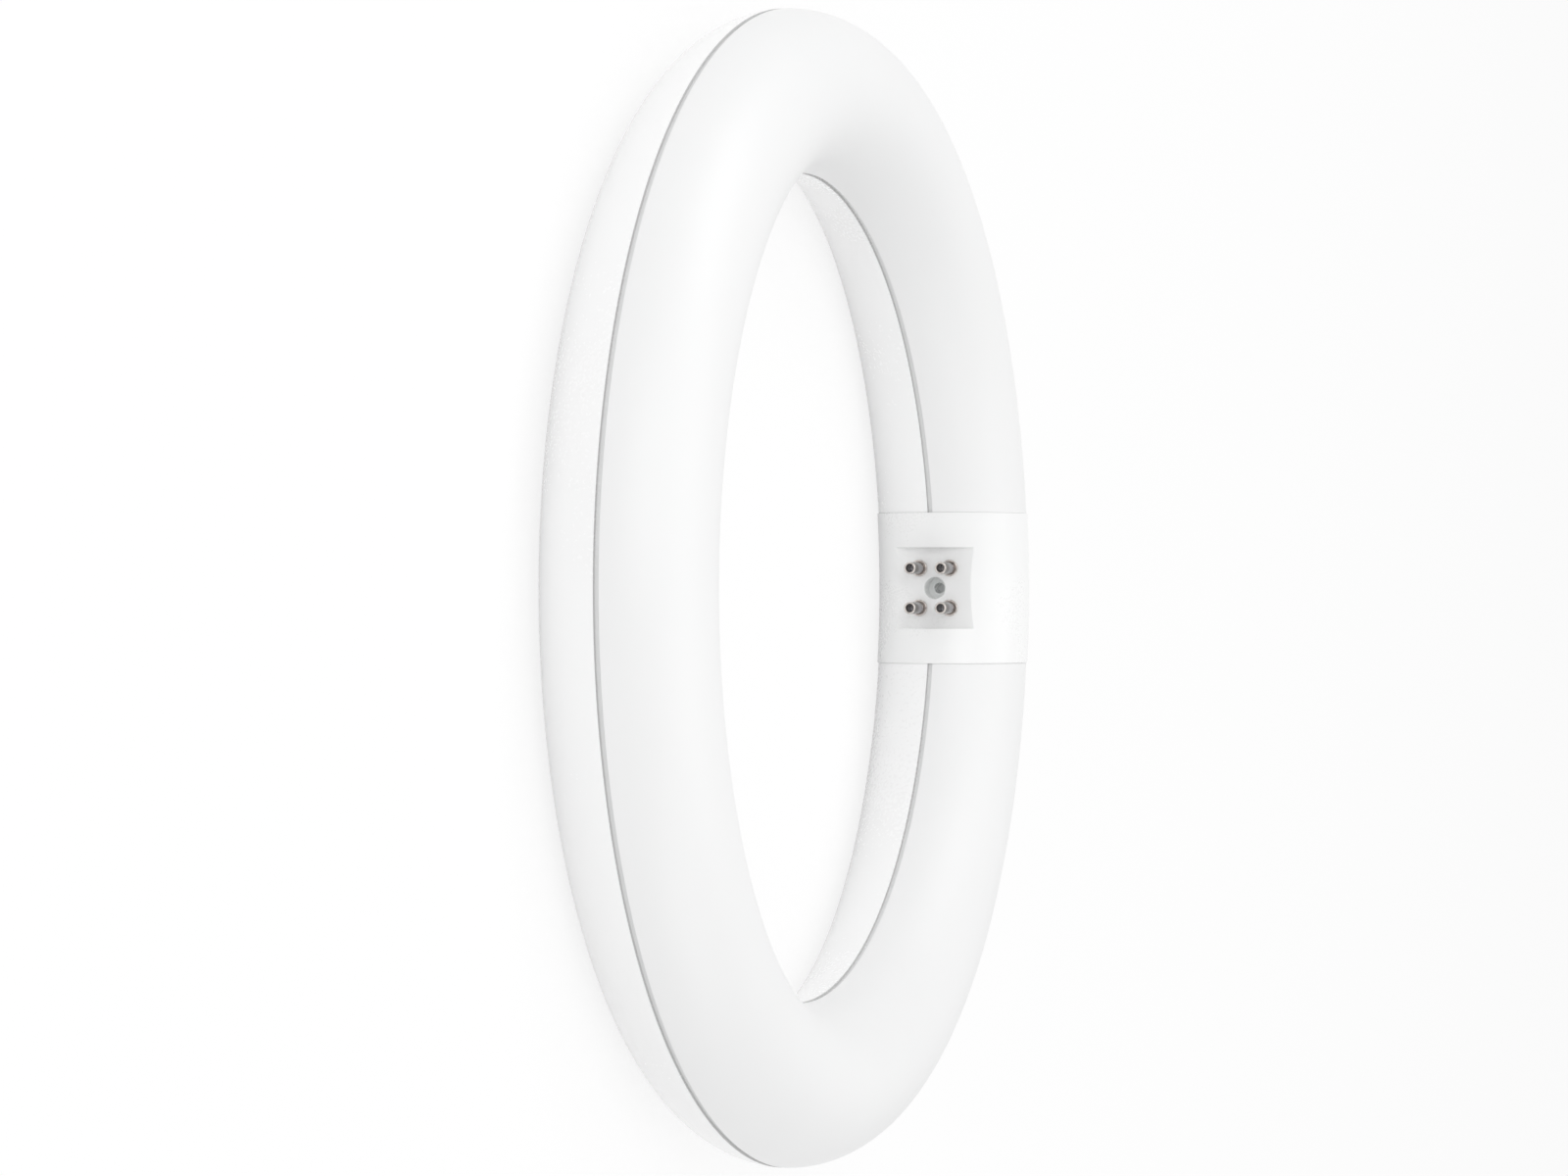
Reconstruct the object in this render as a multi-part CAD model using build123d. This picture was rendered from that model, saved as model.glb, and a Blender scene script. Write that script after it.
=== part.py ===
from build123d import *
import os
from math import asin, copysign, cos, degrees, radians, sin, sqrt, tan

# Circular LED tube with a four-pin base, lying on its back as it rests on a table.
# The ring's axis is +Z, towards the opal front. The collar is at +X and its pins point to -X.
# The origin is on the ring's axis, at the surface that the lamp lies on. All sizes are in millimetres.
# In the comments, "offset" is counted outwards from the tube's centre line, and "height" from the
# ring's middle plane, positive towards the front.

# Ring and shells
ring_outer_d = 211.0
tube_d = 29.7
shell_wall = 1.8

# Sunk line between the two shells
seam_width = 1.0
seam_depth = 0.5

# Locating lip of the rear shell, inside the front one
lip_height = 2.0
lip_wall = 0.85
lip_root = 2.2
lip_clearance = 0.15

# Collar
collar_length = 30.0
collar_step = 0.25
collar_wall = 1.5
collar_gap = 0.1
parting_angle = 72.0
parting_gap = 0.05

# Necks of the shells inside the collar
neck_wall = 1.5
neck_root = 1.6
neck_clearance = 0.1
neck_end_gap = 0.25

# Recess of the collar
recess_depth = 1.95
recess_length = 16.1
recess_floor = 1.8

# Stepped hole in the middle of the recess
counterbore_d = 4.35
counterbore_depth = 3.1
through_hole_d = 2.1
through_hole_depth = 1.6
hole_boss_wall = 1.0

# Cover of the collar
post_d = 5.5
post_gap = 0.1
post_hole_d = 1.7
post_hole_depth = 8.0
tongue_wall = 1.1
tongue_angle = 12.0
tongue_length = 16.0

# Contact pins
pin_spacing_along = 7.92
pin_spacing_across = 6.35
pin_d = 2.36
pin_height = 6.6
pin_bore_d = 1.66
pin_bore_depth = 3.1
pin_tip_bevel = 0.14
flange_d = 3.3
flange_height = 0.6
flange_groove_d = 2.6
flange_groove_depth = 0.25
flange_bevel = 0.12
shank_d = 1.9
shank_clearance = 0.03
rivet_d = 2.6
rivet_height = 0.35
cup_length = 1.6
cup_bore_d = 1.2
cup_bore_depth = 1.4

# Leads from the pins to the driver
lead_d = 1.4
lead_core_d = 0.9
lead_core_bare = 1.2
lead_post_gap = 1.25
lead_landing_angle = 1.3
lead_turn_angle = 6.2
lead_offsets = [-2.0, -6.0, 2.0, 6.0]
lead_bend_offsets = [-4.2, -5.6, -0.9, 2.7]

# Vents of the rear shell
vent_d = 1.1
vent_angles = [17.5, 22.5, 27.5, 32.5]
vent_lean = 18.7

# Light board and its chips
board_thickness = 1.0
board_side_gap = 0.3
board_end_gap = 1.2
chip_length = 3.5
chip_width = 2.8
chip_height = 0.7
chips_in_row = 42
chip_row_offset = 6.0
chip_end_angle = 15.5

# Screws of the light board
board_screw_count = 6
first_screw_angle = 75.0
last_screw_angle = 330.0
screw_head_d = 4.4
screw_head_height = 1.5
screw_d = 2.0
screw_length = 6.0
screw_hole_clearance = 0.45
pilot_clearance = 0.05
boss_d = 5.2
screw_head_bevel = 0.4
socket_d = 2.0
socket_depth = 0.7
pilot_extra = 1.0

# Ribs of the rear shell
rib_thickness = 1.2
rib_height = 3.6
rib_sink = 0.6

# Driver board
driver_drop = 2.0
driver_thickness = 1.2
driver_side_gap = 1.85
driver_start_angle = 15.0
driver_end_angle = 68.0
driver_rib_angles = [20.0, 40.0, 60.0]
driver_rib_height = 2.7
driver_rib_gap = 0.3
driver_screw_angles = [24.0, 58.0]
driver_screw_sides = [-1, 1]
driver_screw_margin = 2.9
driver_boss_d = 4.0

# Link pins between the two boards
link_pin_d = 0.8
link_pin_angle = 66.3
link_pin_offset = 4.0
link_pin_clearance = 0.1
link_pin_stand = 0.8

# Wire legs of the driver's parts, and their room behind the board
wire_d = 0.6
wire_lap = 0.2
wire_drop = 0.3
wire_bend = 0.7
solder_gap = 0.05
part_wall_gap = 0.85

# Mains side of the driver, in order from the collar
fuse_angle = 17.3
fuse_d = 2.6
fuse_length = 6.6
axial_span = 9.2
varistor_angle = 23.0
varistor_d = 6.0
varistor_thickness = 2.6
varistor_bevel = 0.6
varistor_stand = 0.9
varistor_leg_spacing = 3.0
bridge_angle = 26.8
bridge_length = 8.0
bridge_width = 6.2
bridge_height = 3.0
bridge_bevel = 0.4
bridge_stand = 0.4
bridge_leg_inset = 1.2
film_angle = 31.4
film_length = 9.0
film_width = 4.2
film_bevel = 0.4
choke_angle = 36.0
choke_d = 6.4
choke_flange = 1.2
choke_waist_d = 3.2
choke_winding_d = 5.6
bulk_angle = 45.0
bulk_length = 11.6

# Transformer, with the core's middle leg along the tube
transformer_angle = 53.3
core_length = 10.0
core_width = 10.2
core_leg = 2.6
core_window = 2.6
core_yoke = 1.5
core_cover = 1.4
bobbin_wall = 0.5
bobbin_gap = 0.05
bobbin_cheek = 0.6
winding_inset = 0.25

# Output side of the driver
diode_angle = 61.9
diode_d = 2.6
diode_length = 5.0
output_angle = 65.2
output_d = 5.6
can_edge = 0.5
can_groove = 0.35
can_groove_inset = 1.6

# Control chip and small flat parts, on the board's front face
chip_angle = 49.0
chip_offset = -3.0
chip_body_length = 4.9
chip_body_width = 3.9
chip_body_height = 1.3
chip_bevel = 0.25
chip_foot_pitch = 1.27
chip_foot_width = 0.45
chip_foot_length = 1.4
chip_foot_height = 0.35
chip_foot_lap = 0.3
chip_stand = 0.15
resistor_size = (1.25, 2.0, 0.55)
resistor_angles = [44.0, 46.2, 48.4, 50.6]
resistor_offsets = [2.5, 5.5]

# Derived sizes
tube_r = tube_d / 2
ring_r = ring_outer_d / 2 - tube_r
inner_r = tube_r - shell_wall
collar_r = tube_r + collar_step
collar_bore_r = collar_r - collar_wall
neck_r = collar_bore_r - neck_clearance
collar_half = collar_length / 2
recess_half = recess_length / 2
lip_outer = sqrt(inner_r**2 - lip_height**2) - lip_clearance
lip_inner = lip_outer - lip_wall
floor_x = ring_r - collar_r + recess_depth
floor_back_x = floor_x + recess_floor
hole_end_x = floor_x + counterbore_depth + through_hole_depth
recess_wall_end = recess_half + collar_wall
neck_end = recess_wall_end + neck_end_gap
shell_end = collar_half + collar_gap
neck_root_end = shell_end + neck_root
hole_boss_d = counterbore_d + 2 * hole_boss_wall
board_half_width = lip_inner - board_side_gap
board_end = neck_root_end + board_end_gap
driver_top = -board_thickness - driver_drop
driver_under = driver_top - driver_thickness
driver_half_width = sqrt(inner_r**2 - driver_under**2) - driver_side_gap
driver_screw_offset = driver_half_width - driver_screw_margin
sweep_x = 2 * tube_d
table_lift = collar_r


def spot(angle, offset=0.0, height=0.0):
    """A place on the ring: X points outwards there, Y along the tube, Z to the front."""
    return Rot(0, 0, angle) * Pos(ring_r + offset, 0, height)


def spun(section, arc=360.0, start=0.0):
    """A section drawn round the tube's centre line, swept round the ring."""
    return Rot(0, 0, start) * revolve(Plane.XZ * Pos(ring_r, 0) * section, Axis.Z, arc)


def collar_zone(half_length):
    """The block across the ring at the collar, from one flat end face to the other."""
    return Pos(ring_r, 0, 0) * Box(sweep_x, 2 * half_length, sweep_x)


def half_plane(front):
    """Everything in front of the middle plane, or everything behind it."""
    side = Align.MIN if front else Align.MAX
    return Rectangle(2 * tube_d, tube_d, align=(Align.CENTER, side))


def annulus(outer, inner):
    return Circle(outer) - Circle(inner)


def shell_section(front):
    """Half of the tube's wall, with the step at both rims that makes the sunk line."""
    side = Align.MIN if front else Align.MAX
    section = annulus(tube_r, inner_r) & half_plane(front)
    step = Rectangle(seam_depth, seam_width / 2, align=(Align.MAX, side))
    for hand in (-1, 1):
        edge = tube_r if hand > 0 else seam_depth - tube_r
        section -= Pos(edge, 0) * step
    return section


def tube_shell(front):
    """A half shell with its end faces at the collar and a neck that enters the collar."""
    shell = spun(shell_section(front)) - collar_zone(shell_end)
    arc = 2 * degrees(asin(neck_root_end / (ring_r - neck_r)))
    neck = spun(annulus(neck_r, neck_r - neck_wall) & half_plane(front), arc, -arc / 2)
    return shell + (neck & collar_zone(neck_root_end)) - collar_zone(neck_end)


def front_diffuser():
    return tube_shell(True)


def lip():
    """The lip that centres the front shell, with the root that joins it to the wall."""
    section = Sketch()
    for hand in (-1, 1):
        blade = Rectangle(lip_wall, lip_height + lip_root)
        root = Rectangle(tube_r - seam_depth - lip_inner, lip_root)
        section += Pos(hand * (lip_outer - lip_wall / 2), (lip_height - lip_root) / 2) * blade
        section += Pos(hand * (lip_inner + tube_r - seam_depth) / 2, -lip_root / 2) * root
    return spun(section & (Circle(tube_r - seam_depth))) - collar_zone(board_end)


def rib(angle, height, top, notch_half=0.0, notch_top=0.0):
    """A U-shaped rib across the rear shell whose top carries a board's edges."""
    outer = inner_r + rib_sink
    section = annulus(outer, inner_r - height) & (Pos(0, top) * half_plane(False))
    if notch_half:
        section -= Pos(0, notch_top) * Rectangle(2 * notch_half, tube_d, align=(Align.CENTER, Align.MIN))
    plate = extrude(Plane.XZ * section, rib_thickness / 2, both=True)
    return spot(angle) * plate


def boss(angle, offset, diameter, top):
    """A round post from the rear shell's outside up to the underside of a board."""
    reach = top + tube_r
    post = Cylinder(diameter / 2, reach, align=(Align.CENTER, Align.CENTER, Align.MAX))
    return spot(angle, offset, top) * post


def room(half_width):
    """The height that a part of this half width may have behind the driver board."""
    return sqrt(inner_r**2 - half_width**2) + driver_under - part_wall_gap


def driver_screw_places():
    sides = zip(driver_screw_angles, driver_screw_sides)
    return [(angle, side * driver_screw_offset) for angle, side in sides]


def board_screw_angles():
    step = (last_screw_angle - first_screw_angle) / (board_screw_count - 1)
    return [first_screw_angle + step * i for i in range(board_screw_count)]


def rib_angles():
    """Ribs at the board's screws, and one halfway between each pair of them."""
    at_screws = board_screw_angles()
    step = at_screws[1] - at_screws[0]
    return at_screws + [angle + step / 2 for angle in at_screws[:-1]]


def vent(angle):
    """A round hole through the rear shell, near its crown on the ring's inner side."""
    lean = radians(vent_lean)
    out = Vector(-sin(lean), 0, -cos(lean))
    drill = Plane(origin=out * (inner_r + shell_wall / 2), z_dir=out) * Cylinder(vent_d / 2, 2 * shell_wall)
    return spot(angle) * drill


def rear_housing():
    housing = tube_shell(False) + lip()
    pilot_depth = screw_length - board_thickness + pilot_extra
    notch_half = driver_half_width + driver_rib_gap
    ribs = [rib(angle, rib_height, -board_thickness) for angle in rib_angles()]
    for angle in driver_rib_angles:
        ribs.append(rib(angle, driver_rib_height, -board_thickness, notch_half, driver_under))
    bosses = [boss(angle, 0, boss_d, -board_thickness) for angle in board_screw_angles()]
    for angle, offset in driver_screw_places():
        bosses.append(boss(angle, offset, driver_boss_d, driver_under))
    # The bosses end inside the wall, as the ribs do, so nothing of them shows outside.
    envelope = spun(Circle(inner_r + rib_sink))
    for piece in ribs + [post & envelope for post in bosses]:
        housing += piece
    pilot = Cylinder(
        screw_d / 2 + pilot_clearance, pilot_depth, align=(Align.CENTER, Align.CENTER, Align.MAX)
    )
    for angle in board_screw_angles():
        housing -= spot(angle, 0, -board_thickness) * pilot
    for angle, offset in driver_screw_places():
        housing -= spot(angle, offset, driver_under) * pilot
    for angle in vent_angles:
        housing -= vent(angle)
    return housing


def outer_wedge(half_angle):
    """The outer part of the section, up to a line at half_angle on each side of outwards."""
    far = 2 * tube_d
    rise, run = far * sin(radians(half_angle)), far * cos(radians(half_angle))
    return make_face(
        Polyline((0, 0), (run, rise), (run + far, rise), (run + far, -rise), (run, -rise), (0, 0))
    )


def collar_ring(section, half_length):
    """A section swept past the collar's place and cut square at half_length on each side."""
    arc = 2 * degrees(asin((half_length + collar_wall) / (ring_r - collar_r)))
    return spun(section, arc, -arc / 2) & collar_zone(half_length)


def block(low_x, high_x, half_y):
    """A block across the ring at the collar between two distances from the ring's axis."""
    return Pos((low_x + high_x) / 2, 0, 0) * Box(high_x - low_x, 2 * half_y, sweep_x)


def rod(diameter, low_x, high_x, along=0.0, across=0.0):
    """A round bar that points along X."""
    length = high_x - low_x
    return Pos((low_x + high_x) / 2, along, across) * Rot(0, 90, 0) * Cylinder(diameter / 2, length)


def pin_places():
    """The four pins' places along the tube and across it."""
    along, across = pin_spacing_along / 2, pin_spacing_across / 2
    return [(a * along, b * across) for a in (1, -1) for b in (1, -1)]


def base_collar():
    """The collar's inner part: three fifths of the round wall, the recess and the stepped hole."""
    open_side = Pos(-parting_gap, 0) * outer_wedge(parting_angle)
    collar = collar_ring(annulus(collar_r, collar_bore_r) - open_side, collar_half)
    solid = collar_ring(Circle(collar_r), recess_wall_end)
    inner_x = ring_r - 2 * collar_r
    collar += solid & block(inner_x, floor_back_x, recess_wall_end)
    collar -= block(inner_x, floor_x, recess_half)
    collar += rod(hole_boss_d, floor_x, hole_end_x)
    collar -= rod(counterbore_d, floor_x - 1, floor_x + counterbore_depth)
    collar -= rod(through_hole_d, floor_x, hole_end_x + 1)
    for along, across in pin_places():
        collar -= rod(shank_d + 2 * shank_clearance, floor_x - 1, floor_back_x + 1, along, across)
    return collar


def collar_cover():
    """The collar's outer part, with a post behind the stepped hole and a tongue on each side."""
    wall = annulus(collar_r, collar_bore_r) & outer_wedge(parting_angle)
    cover = collar_ring(wall, collar_half)
    tongue_r = neck_r
    blade = annulus(tongue_r, tongue_r - tongue_wall) & outer_wedge(parting_angle + tongue_angle)
    root = annulus(collar_bore_r + collar_wall / 2, tongue_r - tongue_wall) & outer_wedge(parting_angle)
    tongues = (blade + root) - outer_wedge(parting_angle - tongue_angle)
    cover += collar_ring(tongues, tongue_length / 2)
    post_end = hole_end_x + post_gap
    cover += rod(post_d, post_end, ring_r + collar_bore_r + collar_wall / 2)
    return cover - rod(post_hole_d, post_end - 1, post_end + post_hole_depth)


def contact_pin(along, across):
    """A turned pin: blind bore at the tip, grooved flange, riveted shank and a solder cup."""
    r, bore, tip = pin_d / 2, pin_bore_d / 2, pin_tip_bevel
    flange, groove, bevel = flange_d / 2, flange_groove_d / 2, flange_bevel
    shank, rivet, cup = shank_d / 2, rivet_d / 2, cup_bore_d / 2
    bore_end = pin_height - pin_bore_depth
    groove_end = flange_height - flange_groove_depth
    rivet_start = -recess_floor - solder_gap
    rivet_end = rivet_start - rivet_height
    cup_end = rivet_end - cup_length
    cup_floor = cup_end + cup_bore_depth
    outline = Polyline(
        (0, bore_end),
        (bore, bore_end),
        (bore, pin_height),
        (r - tip, pin_height),
        (r, pin_height - tip),
        (r, groove_end),
        (groove, groove_end),
        (groove, flange_height - bevel),
        (groove + bevel, flange_height),
        (flange - bevel, flange_height),
        (flange, flange_height - bevel),
        (flange, 0),
        (shank, 0),
        (shank, rivet_start),
        (rivet, rivet_start),
        (shank, rivet_end),
        (shank, cup_end),
        (cup, cup_end),
        (cup, cup_floor),
        (0, cup_floor),
        (0, bore_end),
    )
    pin = revolve(Plane.XZ * make_face(outline), Axis.Z)
    return Pos(floor_x, along, across) * Rot(0, -90, 0) * pin


def lead_route(along, across, offset, bend_offset):
    """A lead's points: out of its pin, past the post, then under the light board to the driver."""
    height = driver_top + lead_d / 2 + solder_gap
    start_x = floor_back_x + 2 * solder_gap + rivet_height + cup_length
    board_edge = degrees(asin(board_end / ring_r))
    landing = driver_start_angle + lead_landing_angle
    under = [spot(angle, offset, height).position for angle in (board_edge, landing)]
    turn = spot(lead_turn_angle, offset, (across + height) / 2).position
    if along > 0:
        return [Vector(start_x, along, across), Vector(ring_r + bend_offset, along, across), turn, *under]
    # A lead from the far side passes in front of the post or behind it.
    clear = copysign((post_d + lead_d) / 2 + lead_post_gap, across)
    past = Vector(turn.X, along + pin_spacing_along, clear)
    return [Vector(start_x, along, across), Vector(ring_r + bend_offset, along, clear), past, *under]


def bend_radii(points):
    """The largest easy bend at each corner of a route."""
    radii = []
    for before, corner, after in zip(points, points[1:], points[2:]):
        first, second = corner - before, after - corner
        half_turn = radians(first.get_angle(second)) / 2
        radii.append(0.45 * min(first.length, second.length) / tan(half_turn))
    return radii


def pin_lead(along, across, offset, bend_offset):
    """An insulated lead with a bare end in the pin's cup and another on the driver board."""
    points = lead_route(along, across, offset, bend_offset)
    path = FilletPolyline(*points, radius=bend_radii(points))
    start = Plane(origin=points[0], z_dir=points[1] - points[0])
    lead = sweep(start * Circle(lead_d / 2), path)
    for end, out in ((points[0], Vector(-1, 0, 0)), (points[-1], points[-1] - points[-2])):
        bare = Cylinder(lead_core_d / 2, 2 * lead_core_bare)
        lead += Plane(origin=end, z_dir=out) * bare
    return lead


def flat_section(half_width, top, thickness):
    return Pos(0, top) * Rectangle(2 * half_width, thickness, align=(Align.CENTER, Align.MAX))


def through(angle, offset, diameter):
    """A drill through both boards at a place on the ring."""
    return spot(angle, offset) * Cylinder(diameter / 2, tube_d)


def link_pin_places():
    return [(link_pin_angle, hand * link_pin_offset) for hand in (-1, 1)]


def led_board():
    board = spun(flat_section(board_half_width, 0, board_thickness)) - collar_zone(board_end)
    for angle in board_screw_angles():
        board -= through(angle, 0, screw_d + screw_hole_clearance)
    for angle, offset in link_pin_places():
        board -= through(angle, offset, link_pin_d + 2 * link_pin_clearance)
    return board


def led_chips():
    step = (360 - 2 * chip_end_angle) / (chips_in_row - 1)
    chip = Box(chip_width, chip_length, chip_height, align=(Align.CENTER, Align.CENTER, Align.MIN))
    return [
        spot(chip_end_angle + step * i, side * chip_row_offset, 0) * chip
        for i in range(chips_in_row)
        for side in (-1, 1)
    ]


def screw(seat):
    """A pan-head screw with a hexagon socket, its head's underside at the seat."""
    head = Cylinder(screw_head_d / 2, screw_head_height, align=(Align.CENTER, Align.CENTER, Align.MIN))
    head = chamfer(head.edges().group_by(Axis.Z)[-1], screw_head_bevel)
    socket = extrude(RegularPolygon(socket_d / 2, 6), socket_depth)
    head -= Pos(0, 0, screw_head_height - socket_depth) * socket
    shank = Cylinder(screw_d / 2, screw_length, align=(Align.CENTER, Align.CENTER, Align.MAX))
    return seat * (head + shank)


def board_screws():
    return [screw(spot(angle)) for angle in board_screw_angles()]


def driver_screws():
    return [screw(spot(angle, offset, driver_top)) for angle, offset in driver_screw_places()]


def driver_board():
    section = flat_section(driver_half_width, driver_top, driver_thickness)
    board = spun(section, driver_end_angle - driver_start_angle, driver_start_angle)
    for angle, offset in driver_screw_places():
        board -= through(angle, offset, screw_d + screw_hole_clearance)
    for angle, offset in link_pin_places():
        board -= through(angle, offset, link_pin_d + 2 * link_pin_clearance)
    return board


def board_link_pins():
    length = link_pin_stand - driver_under + link_pin_stand
    pin = Cylinder(link_pin_d / 2, length, align=(Align.CENTER, Align.CENTER, Align.MAX))
    return [spot(angle, offset, link_pin_stand) * pin for angle, offset in link_pin_places()]


def legs(places, length):
    """Wire legs that stand up from a component, from just inside it to the board's underside."""
    leg = Cylinder(wire_d / 2, length + wire_lap, align=(Align.CENTER, Align.CENTER, Align.MAX))
    return [Pos(x, y, 0) * leg for x, y in places]


def axial_part(angle, body_d, body_length):
    """A lying round component across the driver board, with its wires bent up to the board."""
    drop, half = body_d / 2 + wire_drop, axial_span / 2
    body = Rot(0, 90, 0) * Cylinder(body_d / 2, body_length)
    body = Pos(0, 0, -drop) * chamfer(body.edges(), body_d / 6)
    bends = [(-half, 0, 0), (-half, 0, -drop), (half, 0, -drop), (half, 0, 0)]
    start = Plane(origin=bends[0], z_dir=(0, 0, -1))
    wire = sweep(start * Circle(wire_d / 2), FilletPolyline(*bends, radius=wire_bend))
    return spot(angle, 0, driver_under) * (body + wire)


def fuse_resistor():
    return axial_part(fuse_angle, fuse_d, fuse_length)


def output_diode():
    return axial_part(diode_angle, diode_d, diode_length)


def varistor():
    disc = Rot(90, 0, 0) * Cylinder(varistor_d / 2, varistor_thickness)
    part = Pos(0, 0, -varistor_stand - varistor_d / 2) * chamfer(disc.edges(), varistor_bevel)
    half = varistor_leg_spacing / 2
    for leg in legs([(-half, 0), (half, 0)], varistor_stand + varistor_d / 4):
        part += leg
    return spot(varistor_angle, 0, driver_under) * part


def bridge_rectifier():
    top = (Align.CENTER, Align.CENTER, Align.MAX)
    body = Box(bridge_length, bridge_width, bridge_height, align=top)
    part = Pos(0, 0, -bridge_stand) * chamfer(body.edges().group_by(Axis.Z)[0], bridge_bevel)
    half_x, half_y = bridge_length / 2 - bridge_leg_inset, bridge_width / 2 - bridge_leg_inset
    for leg in legs([(a * half_x, b * half_y) for a in (-1, 1) for b in (-1, 1)], bridge_stand):
        part += leg
    return spot(bridge_angle, 0, driver_under) * part


def film_capacitor():
    top = (Align.CENTER, Align.CENTER, Align.MAX)
    body = Box(film_length, film_width, room(film_length / 2), align=top)
    body = chamfer(body.edges().group_by(Axis.Z)[0] + body.edges().filter_by(Axis.Z), film_bevel)
    return spot(film_angle, 0, driver_under) * body


def choke_core():
    """A reel of ferrite: two flanges on a waist."""
    half, waist, height = choke_d / 2, choke_waist_d / 2, room(choke_d / 2)
    profile = Polyline(
        (0, 0),
        (half, 0),
        (half, -choke_flange),
        (waist, -choke_flange),
        (waist, choke_flange - height),
        (half, choke_flange - height),
        (half, -height),
        (0, -height),
        (0, 0),
    )
    return spot(choke_angle, 0, driver_under) * revolve(Plane.XZ * make_face(profile), Axis.Z)


def choke_winding():
    core_room = room(choke_d / 2)
    height = core_room - 2 * choke_flange - 2 * solder_gap
    ring = Cylinder(choke_winding_d / 2, height) - Cylinder(choke_waist_d / 2 + solder_gap, height)
    return spot(choke_angle, 0, driver_under - core_room / 2) * ring


def capacitor_can(diameter, length, place):
    """A round can with a crimped groove near the end that its wires leave."""
    r = diameter / 2
    can = chamfer(Cylinder(r, length).edges(), can_edge)
    ring = Cylinder(r + can_groove, 2 * can_groove) - Cylinder(r - can_groove, 2 * can_groove)
    return place * (can - Pos(0, 0, length / 2 - can_groove_inset) * ring)


def bulk_capacitor():
    """The large can, which lies along the tube and fills the depth behind the board."""
    bulk_d = room(0) - solder_gap
    place = spot(bulk_angle, 0, driver_under - bulk_d / 2 - solder_gap) * Rot(90, 0, 0)
    return capacitor_can(bulk_d, bulk_length, place)


def output_capacitor():
    height = room(output_d / 2) - solder_gap
    return capacitor_can(output_d, height, spot(output_angle, 0, driver_under - height / 2 - solder_gap))


bobbin_height = room(core_leg / 2 + core_window)
core_height = bobbin_height - 2 * core_cover
bobbin_length = core_length - 2 * core_yoke - 2 * bobbin_gap


def transformer_place():
    return spot(transformer_angle, 0, driver_under - bobbin_height / 2)


def transformer_core():
    window = Box(core_window, core_length - 2 * core_yoke, core_height)
    core = Box(core_width, core_length, core_height)
    for hand in (-1, 1):
        core -= Pos(hand * (core_leg + core_window) / 2, 0, 0) * window
    return transformer_place() * core


def bobbin_tube(wall, length):
    """A box round the core's middle leg, the given wall away from it."""
    return Box(core_leg + 2 * wall, length, core_height + 2 * wall)


def transformer_bobbin():
    """A tube round the core's middle leg with a cheek at each end."""
    cheek_width = core_leg + 2 * core_window - 2 * bobbin_gap
    cheek = Box(cheek_width, bobbin_cheek, bobbin_height)
    bobbin = bobbin_tube(bobbin_gap + bobbin_wall, bobbin_length)
    for hand in (-1, 1):
        bobbin += Pos(0, hand * (bobbin_length - bobbin_cheek) / 2, 0) * cheek
    return transformer_place() * (bobbin - bobbin_tube(bobbin_gap, core_length))


def transformer_winding():
    """The wound wire between the cheeks, as one body with rounded corners."""
    length = bobbin_length - 2 * bobbin_cheek - 2 * bobbin_gap
    width = core_leg + 2 * core_window - 2 * winding_inset
    coil = Box(width, length, bobbin_height - 2 * winding_inset)
    coil = fillet(coil.edges().filter_by(Axis.Y), core_window / 3)
    return transformer_place() * (coil - bobbin_tube(2 * bobbin_gap + bobbin_wall, core_length))


def controller_chip():
    """An eight-leg chip on the driver board's front face."""
    low = (Align.CENTER, Align.CENTER, Align.MIN)
    chip = Pos(0, 0, chip_stand) * Box(chip_body_width, chip_body_length, chip_body_height, align=low)
    chip = chamfer(chip.edges().group_by(Axis.Z)[-1], chip_bevel)
    foot = Box(chip_foot_length, chip_foot_width, chip_foot_height, align=low)
    reach = (chip_body_width + chip_foot_length) / 2 - chip_foot_lap
    for side in (-1, 1):
        for i in range(4):
            chip += Pos(side * reach, (i - 1.5) * chip_foot_pitch, 0) * foot
    return spot(chip_angle, chip_offset, driver_top) * chip


def chip_resistors():
    """Small flat parts in two lines beside the chip."""
    body = Box(*resistor_size, align=(Align.CENTER, Align.CENTER, Align.MIN))
    return [
        spot(angle, offset, driver_top) * body for angle in resistor_angles for offset in resistor_offsets
    ]


def solids(shape):
    """All solids of a piece, or of a list of like pieces, as one list."""
    pieces = shape if isinstance(shape, list) else [shape]
    return [solid for piece in pieces for solid in piece.solids()]


def write(name, shape):
    lifted = [Pos(0, 0, table_lift) * solid for solid in solids(shape)]
    export_step(lifted[0] if len(lifted) == 1 else Compound(children=lifted), f"parts/{name}.step")


nodes = [
    front_diffuser, rear_housing, base_collar, collar_cover,
    led_board, led_chips, board_screws, driver_board, driver_screws, board_link_pins,
    fuse_resistor, varistor, bridge_rectifier, film_capacitor, choke_core, choke_winding,
    bulk_capacitor, transformer_core, transformer_bobbin, transformer_winding,
    controller_chip, chip_resistors, output_diode, output_capacitor,
]

os.makedirs("parts", exist_ok=True)
for make in nodes:
    write(make.__name__, make())
for number, place in enumerate(pin_places(), start=1):
    write(f"contact_pin_{number}", contact_pin(*place))
    lead = pin_lead(*place, lead_offsets[number - 1], lead_bend_offsets[number - 1])
    write(f"pin_lead_{number}", lead)
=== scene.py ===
from math import asin, atan2, copysign, cos, hypot, pi, radians, sin, sqrt

import bmesh
import bpy
from bpy.props import FloatProperty, FloatVectorProperty, IntProperty, PointerProperty
from mathutils import Matrix, Vector


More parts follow.
